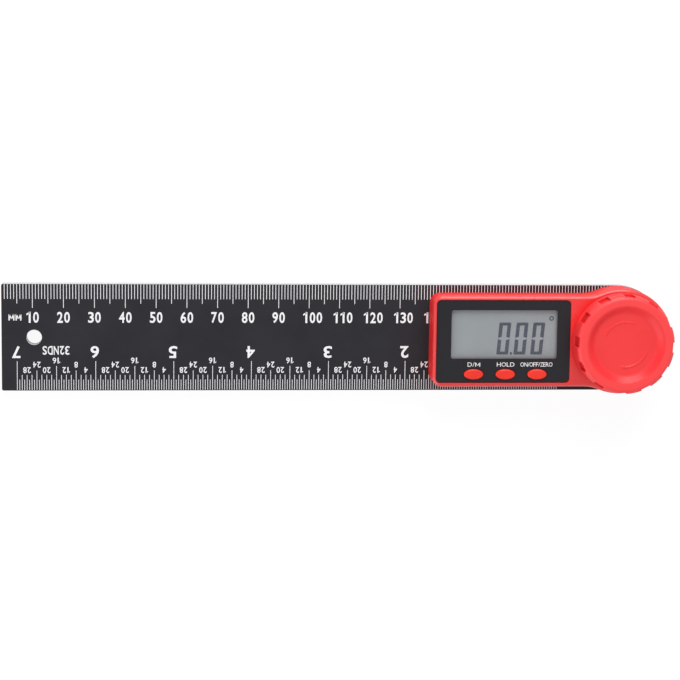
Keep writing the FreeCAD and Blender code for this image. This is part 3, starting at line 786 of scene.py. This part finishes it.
figures = bmesh.new()
low, high, gap = figureValues["low"], figureValues["high"], figureValues["gap"]
middle = (low + high) / 2
half = figureValues["middleGap"] / 2
endCut, middleCut = figureValues["endCut"], figureValues["middleCut"]
for left in figureValues["starts"]:
    right = left + figureValues["width"]
    for y, side in ((high, (0, -1)), (low, (0, 1))):
        addBar(figures, (left + gap, y), (right - gap, y), side, figureValues["lieBar"],
               (endCut, endCut), figureValues)
    for yLow, yHigh, cuts in ((low + gap, middle - half, (endCut, middleCut)),
                              (middle + half, high - gap, (middleCut, endCut))):
        for x, side in ((left, (1, 0)), (right, (-1, 0))):
            addBar(figures, (x, yLow), (x, yHigh), side, figureValues["bar"], cuts,
                   figureValues)
lean = math.tan(math.radians(figureValues["slant"]))
for vert in figures.verts:
    vert.co.x += (vert.co.y - figureValues["low"] * mm) * lean
x, y, half = figureValues["point"]
addBlock(figures, x - half, x + half, y - half, y + half, figureValues["face"],
         figureValues["face"] + figureValues["ink"])
x, y, outer, inner = figureValues["ring"]
loops = []
for radius in (outer, inner):
    points = bmesh.ops.create_circle(figures, segments=figureValues["ringSteps"],
                                     radius=radius * mm)["verts"]
    bmesh.ops.translate(figures, verts=points, vec=spot(x, y, figureValues["face"]))
    loops += list({e for v in points for e in v.link_edges})
flat = bmesh.ops.bridge_loops(figures, edges=loops)["faces"]
raised = bmesh.ops.extrude_face_region(figures, geom=flat)
bmesh.ops.translate(figures, vec=spot(0, 0, figureValues["ink"]),
                    verts=[v for v in raised["geom"] if isinstance(v, bmesh.types.BMVert)])
newPiece("displayFigures", figures, segmentDark, "main_arm")
print("display drawn")

# lock knob: rounded rim and dish, soft notches, two faint turning arrows on its floor
# (heights, radii and widths in mm, the arrows' ends in degrees from the east; tolerance is how
# far off its radius and its height an edge may lie)
knobValues = {"top": 23.4, "floor": 21.7, "dish": 12.6, "floorRadius": 10.4,
              "dishRound": 0.6, "dishSteps": 5, "notchRound": 0.22, "notchSteps": 2,
              "notchAngle": 35, "tolerance": (0.03, 0.02)}
arrowValues = {"radius": 7.4, "width": 0.8, "sunk": 0.05, "rise": 0.2, "slope": 0.2,
               "ends": ((65, 148), (-18, -92)), "headLength": 11, "head": 0.85, "steps": 20,
               "topAngle": 50, "topFrom": 0.1}


def ringEdges(shape, radius, height, tolerance):
    # the edges of the circle of this radius and height about the pivot axis
    found = []
    for edge in shape.edges:
        spots = [v.co for v in edge.verts]
        if all(abs(Vector((c.x, c.y)).length - radius * mm) < tolerance[0] * mm
               and abs(c.z - height * mm) < tolerance[1] * mm for c in spots):
            found.append(edge)
    return found


knob = mergedCopy("lock_knob")
soft = ringEdges(knob, knobValues["dish"], knobValues["top"], knobValues["tolerance"])
soft += ringEdges(knob, knobValues["floorRadius"], knobValues["floor"], knobValues["tolerance"])
bevelEdges(knob, soft, knobValues["dishRound"], knobValues["dishSteps"])
bevelEdges(knob, sharpEdges(knob, knobValues["notchAngle"]), knobValues["notchRound"],
           knobValues["notchSteps"])
newPiece("lockKnob", knob, knobRed, "lock_knob", ("lock_knob",),
         meshValues["smooth"])


def onCircle(radius, angle, z):
    return spot(radius * math.cos(angle), radius * math.sin(angle), z)


def turnAbout(shape, verts, degrees, axis="Z"):
    bmesh.ops.rotate(shape, verts=verts, cent=(0, 0, 0),
                     matrix=Matrix.Rotation(math.radians(degrees), 3, axis))


def extruded(shape, faces):
    # the new faces and the new points of an extrusion
    made = bmesh.ops.extrude_face_region(shape, geom=faces)["geom"]
    return ([f for f in made if isinstance(f, bmesh.types.BMFace)],
            [v for v in made if isinstance(v, bmesh.types.BMVert)])


arrows = bmesh.new()
radius, head = arrowValues["radius"], arrowValues["head"]
low = knobValues["floor"] - arrowValues["sunk"]
high = knobValues["floor"] + arrowValues["rise"]
for start, end in arrowValues["ends"]:
    # the shaft: an upright section swept round the axis step by step
    section = bmesh.ops.create_grid(arrows, x_segments=1, y_segments=1, size=0.5)["verts"]
    bmesh.ops.scale(arrows, verts=section, vec=(arrowValues["width"] * mm, (high - low) * mm, 1))
    turnAbout(arrows, section, 90, "X")
    bmesh.ops.translate(arrows, verts=section, vec=spot(radius, 0, (low + high) / 2))
    turnAbout(arrows, section, start)
    face = list({f for v in section for f in v.link_faces})
    step = (end - start) / arrowValues["steps"]
    face, made = extruded(arrows, face)
    turnAbout(arrows, made, step)
    for count in range(arrowValues["steps"] - 1):
        last = face
        face, made = extruded(arrows, last)
        bmesh.ops.delete(arrows, geom=last, context="FACES_ONLY")
        turnAbout(arrows, made, step)
    # the head: a triangle with its tip beyond the end, raised to the same height
    tip = math.radians(end + math.copysign(arrowValues["headLength"], step))
    base = math.radians(end)
    point = bmesh.ops.create_circle(arrows, cap_ends=True, segments=3, radius=1)["verts"]
    for vert, place in zip(point, (onCircle(radius, tip, low),
                                   onCircle(radius + head, base, low),
                                   onCircle(radius - head, base, low))):
        vert.co = place
    made = extruded(arrows, list({f for v in point for f in v.link_faces}))[1]
    bmesh.ops.translate(arrows, verts=made, vec=spot(0, 0, high - low))
bmesh.ops.recalc_face_normals(arrows, faces=arrows.faces)
topEdges = [e for e in sharpEdges(arrows, arrowValues["topAngle"])
            if min(v.co.z for v in e.verts) > (knobValues["floor"] + arrowValues["topFrom"]) * mm]
bevelEdges(arrows, topEdges, arrowValues["slope"], 1)
newPiece("knobArrows", arrows, knobRed, "lock_knob")
print("knob dressed")

# floor, light and camera
def directRays(tree):
    # 1 for what the camera, a reflection or a clear piece sees, 0 for the light that it gives
    path = addNode(tree, "ShaderNodeLightPath")
    first = addNode(tree, "ShaderNodeMath", operation="MAXIMUM")
    tree.links.new(path.outputs["Is Camera Ray"], first.inputs[0])
    tree.links.new(path.outputs["Is Glossy Ray"], first.inputs[1])
    second = addNode(tree, "ShaderNodeMath", operation="MAXIMUM")
    tree.links.new(first.outputs[0], second.inputs[0])
    tree.links.new(path.outputs["Is Transmission Ray"], second.inputs[1])
    return second.outputs[0]


floorValues = {"bounce": (232, 232, 232), "seen": (100, 100, 100), "glow": 0.9, "rough": 0.9,
               "gloss": 0.1, "half": 6, "drop": 0.05}
floorMaterial, tree, shader = startMaterial("paleFloor")
shader.inputs["Base Color"].default_value = linear(floorValues["bounce"])
shader.inputs["Roughness"].default_value = floorValues["rough"]
shader.inputs["Specular IOR Level"].default_value = floorValues["gloss"]
seenAll = directRays(tree)
seenFloor = addNode(tree, "ShaderNodeBsdfDiffuse")
seenFloor.inputs["Color"].default_value = linear(floorValues["seen"])
glow = addNode(tree, "ShaderNodeEmission")
glow.inputs["Strength"].default_value = floorValues["glow"]
both = addNode(tree, "ShaderNodeAddShader")
tree.links.new(seenFloor.outputs[0], both.inputs[0])
tree.links.new(glow.outputs[0], both.inputs[1])
byRay = addNode(tree, "ShaderNodeMixShader")
tree.links.new(seenAll, byRay.inputs[0])
tree.links.new(shader.outputs[0], byRay.inputs[1])
tree.links.new(both.outputs[0], byRay.inputs[2])
# seen from below, the floor is clear
under = addNode(tree, "ShaderNodeMixShader")
clear = addNode(tree, "ShaderNodeBsdfTransparent")
side = addNode(tree, "ShaderNodeNewGeometry")
tree.links.new(side.outputs["Backfacing"], under.inputs[0])
tree.links.new(byRay.outputs[0], under.inputs[1])
tree.links.new(clear.outputs[0], under.inputs[2])
tree.links.new(under.outputs[0], tree.nodes["Material Output"].inputs["Surface"])
floorShape = bmesh.new()
bmesh.ops.create_grid(floorShape, x_segments=1, y_segments=1, size=floorValues["half"])
bmesh.ops.translate(floorShape, verts=floorShape.verts, vec=spot(0, 0, -floorValues["drop"]))
floorMesh = bpy.data.meshes.new("floor")
floorShape.to_mesh(floorMesh)
floorShape.free()
floorMesh.materials.append(floorMaterial)
floor = bpy.data.objects.new("floor", floorMesh)
bpy.context.scene.collection.objects.link(floor)

worldValues = {"light": 0.53, "seen": 1, "colour": (1, 1, 1, 1)}
world = bpy.data.worlds.new("studio")
bpy.context.scene.world = world
world.use_nodes = True
tree = world.node_tree
background = tree.nodes["Background"]
tree.links.new(addRange(tree, directRays(tree), 0, 1, worldValues["light"],
                        worldValues["seen"]), background.inputs["Strength"])
background.inputs["Color"].default_value = worldValues["colour"]

# lamps: place, width, height (m) and power (W), all aimed at one spot on the part
lampValues = {"key": ((0.04, 0.8, 0.42), 0.6, 1.0, 7.4),
              "fill": ((-0.62, -0.48, 0.3), 0.8, 0.8, 2.9)}
aim = Vector((-0.05, 0, 0.01))
for name, (place, width, height, power) in lampValues.items():
    lamp = bpy.data.lights.new(name, "AREA")
    lamp.shape = "RECTANGLE"
    lamp.size = width
    lamp.size_y = height
    lamp.energy = power
    lampObject = bpy.data.objects.new(name, lamp)
    lampObject.location = place
    lampObject.rotation_euler = (aim - Vector(place)).to_track_quat("-Z", "Y").to_euler()
    bpy.context.scene.collection.objects.link(lampObject)

cameraValues = {"place": (-154.708, 96.149, 704.6), "turn": (-0.1382086, -0.0880217, 0.0125883),
                "lens": 114.13, "sensor": 36, "clip": (0.01, 100)}
camera = bpy.data.cameras.new("camera")
camera.sensor_width = cameraValues["sensor"]
camera.lens = cameraValues["lens"]
camera.clip_start, camera.clip_end = cameraValues["clip"]
cameraObject = bpy.data.objects.new("camera", camera)
cameraObject.location = spot(*cameraValues["place"])
cameraObject.rotation_euler = cameraValues["turn"]
bpy.context.scene.collection.objects.link(cameraObject)
bpy.context.scene.camera = cameraObject
bpy.context.scene.view_settings.view_transform = "Standard"
print("floor, light and camera set")
